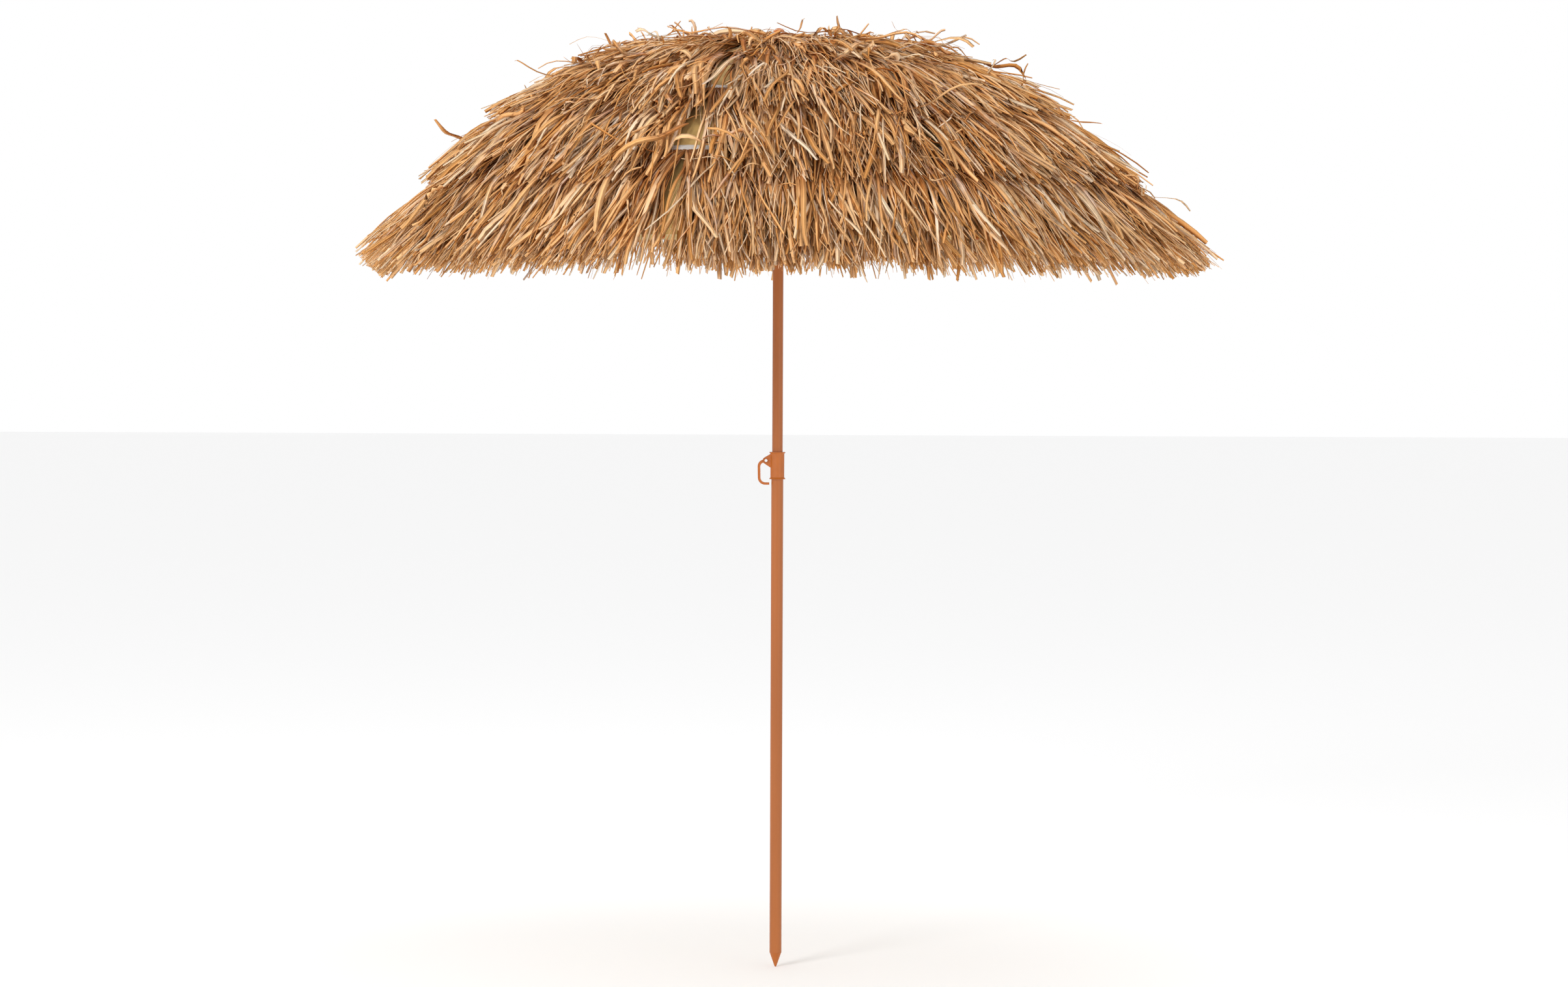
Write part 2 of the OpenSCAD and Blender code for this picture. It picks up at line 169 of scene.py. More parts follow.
def shade_group(
    name: str,
    inputs: Sequence[tuple[str, str, object]],
    outputs: Sequence[tuple[str, str]],
    fill: Callable[[Tree, bpy.types.Node], dict],
) -> bpy.types.NodeTree:
    """Build a shader node group.

    Args:
        name: The group's name.
        inputs: Names, types and defaults of its inputs.
        outputs: Names and types of its outputs.
        fill: Adds the nodes, and returns a socket for each output's name.

    Returns:
        The group.
    """
    group = bpy.data.node_groups.new(name, "ShaderNodeTree")
    group_inputs(group, inputs)
    for output, kind in outputs:
        group.interface.new_socket(name=output, in_out="OUTPUT", socket_type=kind)
    tree = Tree(group)
    given = tree.add("NodeGroupInput")
    results = fill(tree, given)
    end = tree.add("NodeGroupOutput")
    for output, socket in results.items():
        tree.feed(end.inputs[output], socket)
    return group


def grain_group() -> bpy.types.NodeTree:
    """Return the group for uneven colour and small surface relief, read from object coordinates."""

    def fill(tree: Tree, given: bpy.types.Node) -> dict:
        place = tree.vector("MULTIPLY", given.outputs["Place"], given.outputs["Stretch"])
        inputs = {"Vector": place, "Scale": given.outputs["Broad Scale"], "Detail": 4.0}
        broad = tree.add("ShaderNodeTexNoise", inputs)
        inputs = {"Vector": place, "Scale": given.outputs["Fine Scale"], "Detail": 3.0}
        fine = tree.add("ShaderNodeTexNoise", inputs)
        relief = tree.math("ADD", tree.math("MULTIPLY", broad.outputs["Fac"], 0.4), fine.outputs["Fac"])
        return {"Patches": broad.outputs["Fac"], "Relief": relief}

    return shade_group(
        "Surface grain",
        [
            ("Place", "NodeSocketVector", None),
            ("Stretch", "NodeSocketVector", (1.0, 1.0, 1.0)),
            ("Broad Scale", "NodeSocketFloat", 20.0),
            ("Fine Scale", "NodeSocketFloat", 900.0),
        ],
        [("Patches", "NodeSocketFloat"), ("Relief", "NodeSocketFloat")],
        fill,
    )


def weave_group() -> bpy.types.NodeTree:
    """Return the group for a plain weave: the height of crossing threads, read from flat cloth metres."""

    def fill(tree: Tree, given: bpy.types.Node) -> dict:
        place = tree.scaled(given.outputs["Cloth"], tree.math("DIVIDE", math.pi, given.outputs["Thread"]))
        axes = tree.add("ShaderNodeSeparateXYZ", {0: place})
        warp = tree.math("ABSOLUTE", tree.math("SINE", axes.outputs[0]))
        weft = tree.math("ABSOLUTE", tree.math("SINE", axes.outputs[1]))
        height = tree.math("MAXIMUM", warp, weft)
        scaled = {"Vector": given.outputs["Cloth"], "Scale": 60.0, "Detail": 2.0}
        slub = tree.add("ShaderNodeTexNoise", scaled)
        return {"Height": height, "Slub": slub.outputs["Fac"]}

    return shade_group(
        "Plain weave",
        [("Cloth", "NodeSocketVector", None), ("Thread", "NodeSocketFloat", 0.0008)],
        [("Height", "NodeSocketFloat"), ("Slub", "NodeSocketFloat")],
        fill,
    )


GRAIN = grain_group()
WEAVE = weave_group()


# --- Finishes -----------------------------------------------------------------------------


def start_material(name: str, **settings: object) -> tuple[bpy.types.Material, Tree, bpy.types.Node]:
    """Make a material with a Principled shader.

    Args:
        name: The material's name.
        settings: Constant values of the shader's inputs, with underscores for spaces.

    Returns:
        The material, its tree and its shader.
    """
    material = bpy.data.materials.new(name)
    material.use_nodes = True
    tree = Tree(material.node_tree)
    shader = material.node_tree.nodes["Principled BSDF"]
    for key, value in settings.items():
        shader.inputs[key.replace("_", " ")].default_value = value
    return material, tree, shader


def set_bump(tree: Tree, shader: bpy.types.Node, height: object, strength: float, distance: float) -> None:
    """Feed a height into the shader's normal through a bump node."""
    inputs = {"Strength": strength, "Distance": distance, "Height": height}
    bump = tree.add("ShaderNodeBump", inputs)
    tree.feed(shader.inputs["Normal"], bump.outputs["Normal"])


@dataclass(frozen=True)
class Coating:
    """A hard finish with uneven colour and a fine relief: paint, moulded plastic or bare metal."""

    name: str
    colour: tuple[float, float, float]
    shade: tuple[float, float, float]
    roughness: float
    stretch: tuple[float, float, float] = (1.0, 1.0, 1.0)
    broad_scale: float = 20.0
    fine_scale: float = 900.0
    relief: float = 0.00003
    metallic: float = 0.0
    coat: float = 0.0

    def make(self) -> bpy.types.Material:
        """Build the finish's material."""
        material, tree, shader = start_material(self.name, Metallic=self.metallic, Coat_Weight=self.coat)
        place = tree.add("ShaderNodeTexCoord").outputs["Object"]
        grain = tree.add("ShaderNodeGroup", node_tree=GRAIN)
        tree.feed(grain.inputs["Place"], place)
        tree.feed(grain.inputs["Stretch"], self.stretch)
        tree.feed(grain.inputs["Broad Scale"], self.broad_scale)
        tree.feed(grain.inputs["Fine Scale"], self.fine_scale)
        patches = grain.outputs["Patches"]
        tree.feed(shader.inputs["Base Color"], tree.ramp(patches, [(0.3, self.shade), (0.65, self.colour)]))
        spread = tree.math("MULTIPLY", tree.math("SUBTRACT", patches, 0.5), 0.3)
        tree.feed(shader.inputs["Roughness"], tree.math("ADD", spread, self.roughness))
        set_bump(tree, shader, grain.outputs["Relief"], 0.35, self.relief)
        return material


@dataclass(frozen=True)
class Cloth:
    """A woven cloth, with its threads laid out in the flat metres of the piece's own UV map."""

    name: str
    colour: tuple[float, float, float]
    shade: tuple[float, float, float]
    thread: float
    roughness: float = 0.75
    sheen: float = 0.15

    def make(self) -> bpy.types.Material:
        """Build the cloth's material."""
        material, tree, shader = start_material(self.name, Sheen_Weight=self.sheen)
        cloth = tree.add("ShaderNodeUVMap", uv_map="cloth").outputs["UV"]
        weave = tree.add("ShaderNodeGroup", node_tree=WEAVE)
        tree.feed(weave.inputs["Cloth"], cloth)
        tree.feed(weave.inputs["Thread"], self.thread)
        tone = tree.ramp(weave.outputs["Slub"], [(0.3, self.shade), (0.7, self.colour)])
        # Painted shade: the colour is darkened where the weave is low, between the threads.
        painted_weave_shade = tree.ramp(weave.outputs["Height"], [(0.3, (0.72, 0.72, 0.72)), (0.9, WHITE)])
        tree.feed(shader.inputs["Base Color"], tree.mix(1.0, tone, painted_weave_shade, "MULTIPLY"))
        rough = tree.math("MULTIPLY", weave.outputs["Slub"], 0.2)
        tree.feed(shader.inputs["Roughness"], tree.math("ADD", rough, self.roughness - 0.1))
        set_bump(tree, shader, weave.outputs["Height"], 0.6, 0.0002)
        return material


@dataclass(frozen=True)
class Raffia:
    """Flat strips of raffia: each has its own tone and fine grooves along it, glossy patches painted paler as
    a highlight, and painted shade near its tape.
    """

    name: str = "raffia_strips"
    tones: tuple = (
        (0.0, (0.63, 0.275, 0.068)),
        (0.25, (0.80, 0.39, 0.13)),
        (0.5, (0.89, 0.49, 0.20)),
        (0.8, (0.94, 0.59, 0.30)),
        (1.0, (0.97, 0.76, 0.53)),
    )

    def make(self) -> bpy.types.Material:
        """Build the strips' material."""
        material, tree, shader = start_material(self.name)
        tone = tree.add("ShaderNodeAttribute", attribute_name="straw_tone").outputs["Fac"]
        sheen = tree.add("ShaderNodeAttribute", attribute_name="straw_gloss").outputs["Fac"]
        along = tree.add("ShaderNodeAttribute", attribute_name="straw_along").outputs["Fac"]
        across = tree.add("ShaderNodeAttribute", attribute_name="straw_across").outputs["Fac"]
        grooves = self.streaks(tree, across, along, tone, (14.0, 2.2, 97.0))
        patches = self.streaks(tree, across, along, tone, (1.0, 7.0, 61.0))
        spread = tree.math("MULTIPLY", tree.math("SUBTRACT", grooves, 0.5), 0.5)
        colour = tree.ramp(tree.math("ADD", tone, spread), self.tones)
        # Painted shade: each strip is darkened near its tape, where it lies under the end of the tier above.
        painted_tier_shade = tree.ramp(along, [(0.3, (0.60, 0.44, 0.31)), (0.6, WHITE)])
        shine = tree.ramp(sheen, [(0.78, BLACK), (0.9, WHITE)])
        shine = tree.math("MULTIPLY", shine, tree.ramp(patches, [(0.4, BLACK), (0.6, WHITE)]))
        colour = tree.mix(1.0, colour, painted_tier_shade, "MULTIPLY")
        # Painted highlight: the glossy patches are painted paler, towards a pinkish white, as a glint; their
        # lower roughness and stronger specular give real gloss.
        pale = tree.mix(tree.math("MULTIPLY", shine, 0.4), colour, (0.95, 0.82, 0.72, 1.0))
        tree.feed(shader.inputs["Base Color"], pale)
        tree.feed(shader.inputs["Roughness"], tree.math("SUBTRACT", 0.6, tree.math("MULTIPLY", shine, 0.38)))
        gloss = tree.math("ADD", 0.18, tree.math("MULTIPLY", shine, 0.5))
        tree.feed(shader.inputs["Specular IOR Level"], gloss)
        set_bump(tree, shader, grooves, 0.5, 0.0006)
        return material

    def streaks(
        self, tree: Tree, across: object, along: object, tone: object, scales: tuple
    ) -> bpy.types.NodeSocket:
        """Return a noise that runs along each strip, different on every strip."""
        runs = zip("XYZ", (across, along, tone), scales)
        axes = {axis: tree.math("MULTIPLY", value, scale) for axis, value, scale in runs}
        place = tree.add("ShaderNodeCombineXYZ", axes).outputs[0]
        return tree.add("ShaderNodeTexNoise", {"Vector": place, "Scale": 1.0, "Detail": 3.0}).outputs["Fac"]


PAINT = Coating("tube_paint", (0.40, 0.115, 0.019), (0.34, 0.095, 0.014), 0.36, (1.0, 1.0, 0.08), 30.0)
PLASTIC = Coating("moulded_plastic", (0.47, 0.128, 0.014), (0.41, 0.108, 0.011), 0.42, broad_scale=45.0)
BUSH = Coating("bush_plastic", (0.72, 0.70, 0.64), (0.62, 0.60, 0.55), 0.5)
STEEL = Coating("rib_steel", (0.66, 0.66, 0.64), (0.5, 0.5, 0.49), 0.36, fine_scale=400.0, metallic=0.85)
ZINC = Coating("zinc_steel", (0.6, 0.61, 0.62), (0.45, 0.46, 0.47), 0.3, fine_scale=500.0, metallic=1.0)
CANVAS = Cloth("canopy_cloth", (0.58, 0.385, 0.125), (0.49, 0.315, 0.095), 0.0009)
TAPE = Cloth("header_tape", (0.86, 0.85, 0.82), (0.74, 0.73, 0.70), 0.0007, 0.6)
THREAD = Coating("sewing_thread", (0.8, 0.78, 0.72), (0.6, 0.58, 0.52), 0.6, fine_scale=2500.0)


# --- Geometry helpers ---------------------------------------------------------------------


def mesh_object(name: str, points: Sequence, faces: Sequence) -> bpy.types.Object:
    """Make a smooth mesh object at the origin and link it.

    Args:
        name: The object's name.
        points: The vertices.
        faces: The faces, as vertex numbers.

    Returns:
        The object.
    """
    mesh = bpy.data.meshes.new(name)
    mesh.from_pydata([tuple(p) for p in points], [], faces)
    mesh.polygons.foreach_set("use_smooth", [True] * len(mesh.polygons))
    piece = bpy.data.objects.new(name, mesh)
    bpy.context.scene.collection.objects.link(piece)
    return piece


def outward(piece: bpy.types.Object) -> None:
    """Merge a closed mesh's doubles and turn all its faces outwards."""
    work = bmesh.new()
    work.from_mesh(piece.data)
    bmesh.ops.remove_doubles(work, verts=work.verts, dist=1e-6)
    bmesh.ops.recalc_face_normals(work, faces=work.faces)
    work.to_mesh(piece.data)
    work.free()


def apply_modifiers(piece: bpy.types.Object) -> None:
    """Turn a piece with its modifiers into a plain mesh."""
    evaluated = piece.evaluated_get(bpy.context.evaluated_depsgraph_get())
    mesh = bpy.data.meshes.new_from_object(evaluated)
    mesh.name = piece.name
    piece.modifiers.clear()
    piece.data = mesh


def run_nodes(name: str, tree: bpy.types.NodeTree, base: bpy.types.Object, values: dict) -> bpy.types.Object:
    """Run a Geometry Nodes tree on an object and keep the result as its plain mesh.

    Args:
        name: The finished piece's name.
        tree: The tree.
        base: The object whose mesh the tree reads.
        values: The tree's named inputs.

    Returns:
        The same object, with the result as its mesh.
    """
    modifier = base.modifiers.new("build", "NODES")
    modifier.node_group = tree
    keys = {item.name: item.identifier for item in tree.interface.items_tree if item.item_type == "SOCKET"}
    for key, value in values.items():
        modifier[keys[key]] = value
    base.name = name
    apply_modifiers(base)
    return base


def polyline(name: str, points: Sequence) -> bpy.types.Object:
    """Make an object that holds one line of edges, for a tree to follow."""
    mesh = bpy.data.meshes.new(name)
    mesh.from_pydata([tuple(p) for p in points], [(k, k + 1) for k in range(len(points) - 1)], [])
    line = bpy.data.objects.new(name, mesh)
    bpy.context.scene.collection.objects.link(line)
    return line


def lathe(name: str, outline: Sequence[tuple[float, float]], turns: int) -> bpy.types.Object:
    """Turn a closed outline of radius and height round the pole's axis.

    Args:
        name: The piece's name.
        outline: The outline's corners; it is closed back to its first one.
        turns: The number of steps round the axis.

    Returns:
        The closed solid.
    """
    points, faces = [], []
    count = len(outline)
    for j in range(turns):
        angle = 2 * math.pi * j / turns
        points += [(r * math.cos(angle), r * math.sin(angle), z) for r, z in outline]
    for j in range(turns):
        here, there = j * count, (j + 1) % turns * count
        for k in range(count):
            n = (k + 1) % count
            faces.append((here + k, there + k, there + n, here + n))
    piece = mesh_object(name, points, faces)
    outward(piece)
    return piece


def wear(piece: bpy.types.Object, material: bpy.types.Material) -> None:
    """Dress a new piece in a material."""
    piece.data.materials.clear()
    piece.data.materials.append(material)


def dress_node(node: str, material: bpy.types.Material) -> None:
    """Put a material on a CAD node's own slots."""
    piece = frame["nodes"][node]
    if not piece.material_slots:
        piece.data.materials.append(material)
    for entry in piece.material_slots:
        entry.material = material


# --- The ribs' curve ----------------------------------------------------------------------


@dataclass(frozen=True)
class RibCurve:
    """The bend that every rib follows, as radius and height against distance along the rib."""

    length: float = 0.9
    root_slope: float = math.radians(4.0)
    tip_slope: float = math.radians(48.0)
    bend_share: float = 0.38
    step: float = 0.005

    @property
    def pivot(self) -> tuple[float, float]:
        """Radius and height of the ribs' pivots at the crown."""
        x, y, z = JOINTS["rib_1_fold"]["pos_m"]
        return math.hypot(x, y), z

    def slope(self, s: float) -> float:
        """Slope below level at a distance along the rib, in radians."""
        bend_at = self.bend_share * self.length
        rate = 2 * (self.tip_slope - self.root_slope) / self.length
        if s < bend_at:
            return self.root_slope + rate * max(s, 0.0) ** 2 / (2 * bend_at)
        return self.tip_slope - rate * max(self.length - s, 0.0) ** 2 / (2 * (self.length - bend_at))

    def point(self, s: float, lift: float = 0.0) -> tuple[float, float]:
        """Radius and height of a point of the curve.

        Args:
            s: Distance along the rib; past its end the curve runs on straight.
            lift: Distance off the curve, square to it and upwards.

        Returns:
            Radius and height.
        """
        r, z = self.pivot
        count = max(round(s / self.step), 1)
        part = s / count
        for k in range(count):
            slope = self.slope((k + 0.5) * part)
            r += part * math.cos(slope)
            z -= part * math.sin(slope)
        slope = self.slope(s)
        return r + lift * math.sin(slope), z + lift * math.cos(slope)

    def turn(self, number: int) -> float:
        """Angle of a rib round the pole, from +X."""
        x, y, _ = JOINTS[f"rib_{number}_fold"]["pos_m"]
        return math.atan2(y, x)


CURVE = RibCurve()


def fold_with(piece: bpy.types.Object, number: int) -> None:
    """Make a soft piece ride on a rib."""
    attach(piece, f"rib_{number}")
    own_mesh(piece)


# --- Geometry Nodes trees -----------------------------------------------------------------


def start_geometry_tree(name: str, sockets: Sequence[tuple[str, str, object]]) -> tuple[Tree, bpy.types.Node]:
    """Start a Geometry Nodes tree with a geometry and named inputs.

    Args:
        name: The tree's name.
        sockets: Names, types and defaults of its inputs.

    Returns:
        The tree and its input node.
    """
    group = bpy.data.node_groups.new(name, "GeometryNodeTree")
    group.interface.new_socket(name="Geometry", in_out="INPUT", socket_type="NodeSocketGeometry")
    group.interface.new_socket(name="Geometry", in_out="OUTPUT", socket_type="NodeSocketGeometry")
    group_inputs(group, sockets)
    tree = Tree(group)
    return tree, tree.add("NodeGroupInput")


def end_geometry_tree(tree: Tree, geometry: bpy.types.NodeSocket, material: bpy.types.NodeSocket) -> None:
    """End a Geometry Nodes tree: its instances made real, its material set."""
    real = tree.add("GeometryNodeRealizeInstances", {0: geometry})
    dressed = tree.add("GeometryNodeSetMaterial", {"Geometry": real.outputs[0], "Material": material})
    tree.add("NodeGroupOutput", {0: dressed.outputs[0]})


def rod_tree() -> bpy.types.NodeTree:
    """Return the tree that turns a line of edges into a round rod with closed ends."""
    tree, given = start_geometry_tree(
        "Round rod",
        [
            ("Radius", "NodeSocketFloat", 0.002),
            ("Sides", "NodeSocketInt", 12),
            ("Material", "NodeSocketMaterial", None),
        ],
    )
    line = tree.add("GeometryNodeMeshToCurve", {0: given.outputs["Geometry"]}).outputs[0]
    ring = tree.add(
        "GeometryNodeCurvePrimitiveCircle",
        {"Resolution": given.outputs["Sides"], "Radius": given.outputs["Radius"]},
    ).outputs[0]
    inputs = {"Curve": line, "Profile Curve": ring, "Fill Caps": True}
    rod = tree.add("GeometryNodeCurveToMesh", inputs).outputs[0]
    smooth = tree.add("GeometryNodeSetShadeSmooth", {"Geometry": rod}).outputs[0]
    end_geometry_tree(tree, smooth, given.outputs["Material"])
    return tree.nodes


def stitch_tree() -> bpy.types.NodeTree:
    """Return the tree that sets short stitches end to end along a line."""
    tree, given = start_geometry_tree(
        "Row of stitches",
        [
            ("Spacing", "NodeSocketFloat", 0.006),
            ("Stitch Radius", "NodeSocketFloat", 0.0006),
            ("Material", "NodeSocketMaterial", None),
        ],
    )
    line = tree.add("GeometryNodeMeshToCurve", {0: given.outputs["Geometry"]}).outputs[0]
    inputs = {"Curve": line, "Length": given.outputs["Spacing"]}
    marks = tree.add("GeometryNodeCurveToPoints", inputs, mode="LENGTH")
    length = tree.math("MULTIPLY", given.outputs["Spacing"], 0.7)
    stitch = tree.add(
        "GeometryNodeMeshCylinder",
        {"Vertices": 6, "Radius": given.outputs["Stitch Radius"], "Depth": length},
    ).outputs["Mesh"]
    placed = tree.add(
        "GeometryNodeInstanceOnPoints",
        {"Points": marks.outputs["Points"], "Instance": stitch, "Rotation": marks.outputs["Rotation"]},
    ).outputs[0]
    end_geometry_tree(tree, placed, given.outputs["Material"])
    return tree.nodes


@dataclass
class StrawTree:
    """The Geometry Nodes tree that hangs flat straws from a header tape, along a guide line.

    The guide is drawn in the plane of radius and height. Each straw starts on the tape, keeps to its
    panel's own fall line with a little splay, and is lifted, waved, kinked and cut to its own length.
    """

    tree: Tree = field(init=False)
    given: bpy.types.Node = field(init=False)
    number: bpy.types.NodeSocket = field(init=False)
    along: bpy.types.NodeSocket = field(init=False)

    def of(self, name: str) -> bpy.types.NodeSocket:
        """Return the tree's input of this name."""
        return self.given.outputs[name]

    def chance(self, channel: int) -> bpy.types.NodeSocket:
        """Return a number from 0 to 1 that is the same all along one straw."""
        seed = self.tree.math("MULTIPLY_ADD", self.of("Seed"), 64.0)
        seed.node.inputs[2].default_value = channel
        node = self.tree.add("FunctionNodeRandomValue", {"ID": self.number, "Seed": seed}, data_type="FLOAT")
        return node.outputs[1]

    def centred(self, channel: int) -> bpy.types.NodeSocket:
        """Return a number from -1 to 1 that is the same all along one straw."""
        return self.tree.math("MULTIPLY", self.tree.math("SUBTRACT", self.chance(channel), 0.5), 2.0)

    def product(self, *factors: object) -> bpy.types.NodeSocket:
        """Multiply several numbers."""
        result = factors[0]
        for factor in factors[1:]:
            result = self.tree.math("MULTIPLY", result, factor)
        return result

    def total(self, *terms: object) -> bpy.types.NodeSocket:
        """Add several numbers."""
        result = terms[0]
        for term in terms[1:]:
            result = self.tree.math("ADD", result, term)
        return result

    def wave(self, turns: float, channel: int) -> bpy.types.NodeSocket:
        """Return a wave along each straw, with its own start."""
        angle = self.total(self.product(self.along, turns), self.product(self.chance(channel), math.tau))
        return self.tree.math("SINE", angle)

    def kink(self, channel: int) -> bpy.types.NodeSocket:
        """Return a ramp that starts at a random place along each straw, as after a crease."""
        start = self.total(self.product(self.chance(channel), 0.75), 0.1)
        return self.tree.math("MAXIMUM", self.tree.math("SUBTRACT", self.along, start), 0.0)

    def run(self, guide: bpy.types.NodeSocket, heading: bpy.types.NodeSocket) -> tuple:
        """Follow the guide.

        Args:
            guide: The guide curve.
            heading: Each straw's own angle off the fall line.

        Returns:
            Apothem, height, the guide's tangent along both, the step sideways, and the room over the cloth.
        """
        tree = self.tree
        cut = self.product(self.of("Length Spread"), tree.math("POWER", self.chance(3), 1.4))
        reach = self.product(self.of("Length"), tree.math("SUBTRACT", 1.0, cut), self.along)
        start = self.product(self.of("Start Spread"), self.chance(4))
        sample = tree.add("GeometryNodeSampleCurve", mode="LENGTH")
        room = tree.add("GeometryNodeInputNamedAttribute", {"Name": "room"}, data_type="FLOAT").outputs[0]
        tree.feed(sample.inputs["Curves"], guide)
        tree.feed(sample.inputs["Value"], room)
        ahead = self.product(reach, tree.math("COSINE", heading))
        tree.feed(sample.inputs["Length"], self.total(start, ahead))
        place = tree.add("ShaderNodeSeparateXYZ", {0: sample.outputs["Position"]})
        tangent = tree.add("ShaderNodeSeparateXYZ", {0: sample.outputs["Tangent"]})
        sideways = self.product(reach, tree.math("SINE", heading))
        room = sample.outputs["Value"]
        across_r, up_z = tangent.outputs["X"], tangent.outputs["Z"]
        return place.outputs["X"], place.outputs["Z"], across_r, up_z, sideways, room

    def lift(self, stray: bpy.types.NodeSocket) -> bpy.types.NodeSocket:
        """Return how far each straw stands off the guide: its layer, its waves and its creases."""
        eased = self.tree.math("POWER", self.along, 0.6)
        layer = self.total(self.centred(5), self.product(stray, 1.2))
        layer = self.product(layer, self.of("Layer Depth"), eased)
        ripple = self.product(self.wave(8.0, 6), self.of("Frizz"), eased)
        curl = self.product(self.kink(7), self.total(self.chance(8), -0.45), self.of("Kink"))
        return self.total(layer, ripple, curl)

    def across(
        self, side: bpy.types.NodeSocket, apothem: bpy.types.NodeSocket, stray: bpy.types.NodeSocket
    ) -> bpy.types.NodeSocket:
        """Return the place along the tape's direction: the splay, locks that lean together, and strays."""
        tree = self.tree
        even = tree.math("DIVIDE", self.total(self.number, self.chance(1)), self.of("Straws"))
        start = self.product(self.of("Tape Half Length"), even)
        growth = tree.math("SUBTRACT", tree.math("DIVIDE", apothem, self.of("Tape Apothem")), 1.0)
        spread = self.product(start, self.total(self.product(growth, self.of("Splay")), 1.0), side, -1.0)
        leans = []
        for scale, weight in ((14.0, 3.4), (60.0, 1.5)):
            lock = tree.add(
                "ShaderNodeCombineXYZ",
                {
                    "X": self.product(start, scale),
                    "Y": self.product(self.of("Seed"), 1.37),
                    "Z": self.total(self.product(side, 3.0), self.product(self.chance(9), 0.6)),
                },
            ).outputs[0]
            noise = tree.add("ShaderNodeTexNoise", {"Vector": lock, "Scale": 1.0, "Detail": 1.0})
            leans.append(self.product(tree.math("SUBTRACT", noise.outputs["Fac"], 0.5), weight))
        lean = self.product(self.total(self.product(self.centred(10), 0.45), *leans), self.of("Drift"))
        lean = self.product(lean, tree.math("POWER", self.along, 1.2))
        eased = tree.math("POWER", self.along, 0.8)
        throw = self.product(self.centred(11), self.of("Stray Drift"), stray, eased)
        sway = self.product(self.wave(6.5, 12), self.of("Frizz"), self.along)
        crease = self.product(self.kink(13), self.centred(14), self.of("Kink"))
        return self.total(spread, lean, throw, sway, crease)

    def keep(self, geometry: bpy.types.NodeSocket, name: str, value: object) -> bpy.types.NodeSocket:
        """Store a number on every point, for the material to read."""
        kind = "GeometryNodeStoreNamedAttribute"
        inputs = {"Geometry": geometry, "Name": name, "Value": value}
        return self.tree.add(kind, inputs, data_type="FLOAT", domain="POINT").outputs[0]

    def strips(self, paths: bpy.types.NodeSocket) -> bpy.types.NodeSocket:
        """Turn the straws' paths into flat strips, each with its own width, twist and tone."""
        tree = self.tree
        upright = tree.add("GeometryNodeSetCurveNormal", {"Curve": paths}, mode="Z_UP").outputs[0]
        twist = self.product(self.centred(15), 0.5)
        tilt = self.total(twist, self.product(self.centred(16), self.along, 1.5))
        tilted = tree.add("GeometryNodeSetCurveTilt", {"Curve": upright, "Tilt": tilt}).outputs[0]
        own = self.total(self.product(tree.math("POWER", self.chance(17), 3.0), 1.5), 0.5)
        root = tree.math("MINIMUM", self.total(self.product(self.along, 6.0), 0.45), 1.0)
        tip = tree.math("SUBTRACT", 1.0, self.product(tree.math("POWER", self.along, 6.0), 0.4))
        radius = self.product(own, root, tip, self.of("Width"), 0.58)
        sized = tree.add("GeometryNodeSetCurveRadius", {"Curve": tilted, "Radius": radius}).outputs[0]
        kept = {"straw_tone": self.chance(18), "straw_gloss": self.chance(19), "straw_along": self.along}
        for name, value in kept.items():
            sized = self.keep(sized, name, value)
        ring = tree.add("GeometryNodeCurvePrimitiveCircle", {"Resolution": 3, "Radius": 1.0}).outputs[0]
        around = tree.add("GeometryNodeSplineParameter").outputs["Factor"]
        marked = self.keep(ring, "straw_across", around)
        inputs = {"Geometry": marked, "Rotation": (0.0, 0.0, math.pi / 2), "Scale": (0.10, 1.0, 1.0)}
        flat = tree.add("GeometryNodeTransform", inputs).outputs[0]
        size = tree.add("GeometryNodeInputRadius").outputs[0]
        inputs = {"Curve": sized, "Profile Curve": flat, "Scale": size, "Fill Caps": True}
        return tree.add("GeometryNodeCurveToMesh", inputs).outputs[0]

    def build(self) -> bpy.types.NodeTree:
        """Build the whole tree."""
        names = {
            "Length": 0.3,
            "Length Spread": 0.25,
            "Start Spread": 0.0,
            "Width": 0.005,
            "Rib Turn": 0.0,
            "Turn Spread": 0.0,
            "Tape Apothem": 0.2,
            "Tape Half Length": 0.08,
            "Splay": 0.6,
            "Heading Spread": 0.1,
            "Drift": 0.05,
            "Layer Depth": 0.02,
            "Frizz": 0.006,
            "Kink": 0.08,
            "Stray Share": 0.04,
            "Stray Drift": 0.12,
        }
        counts = {"Straws": 600, "Steps": 10, "Seed": 1}
        sockets = [(name, "NodeSocketInt", value) for name, value in counts.items()]
        sockets += [(name, "NodeSocketFloat", value) for name, value in names.items()]
        sockets.append(("Material", "NodeSocketMaterial", None))
        self.tree, self.given = start_geometry_tree("Hanging straws", sockets)
        tree = self.tree
        guide = tree.add("GeometryNodeMeshToCurve", {0: self.of("Geometry")}).outputs[0]
        strand = tree.add("GeometryNodeCurvePrimitiveLine").outputs[0]
        inputs = {"Curve": strand, "Count": tree.math("ADD", self.of("Steps"), 1.0)}
        strand = tree.add("GeometryNodeResampleCurve", inputs).outputs[0]
        inputs = {"Geometry": strand, "Amount": self.of("Straws")}
        copies = tree.add("GeometryNodeDuplicateElements", inputs, domain="SPLINE")
        self.number = copies.outputs["Duplicate Index"]
        self.along = tree.add("GeometryNodeSplineParameter").outputs["Factor"]
        side = self.total(self.product(tree.math("MODULO", self.number, 2.0), 2.0), -1.0)
        stray = tree.math("LESS_THAN", self.chance(2), self.of("Stray Share"))
        heading = self.product(self.centred(20), self.of("Heading Spread"))
        apothem, height, tangent_r, tangent_z, sideways, room = self.run(guide, heading)
        lowest = self.total(self.product(room, -1.0), self.product(self.chance(22), 0.003))
        lift = tree.math("MAXIMUM", self.lift(stray), lowest)
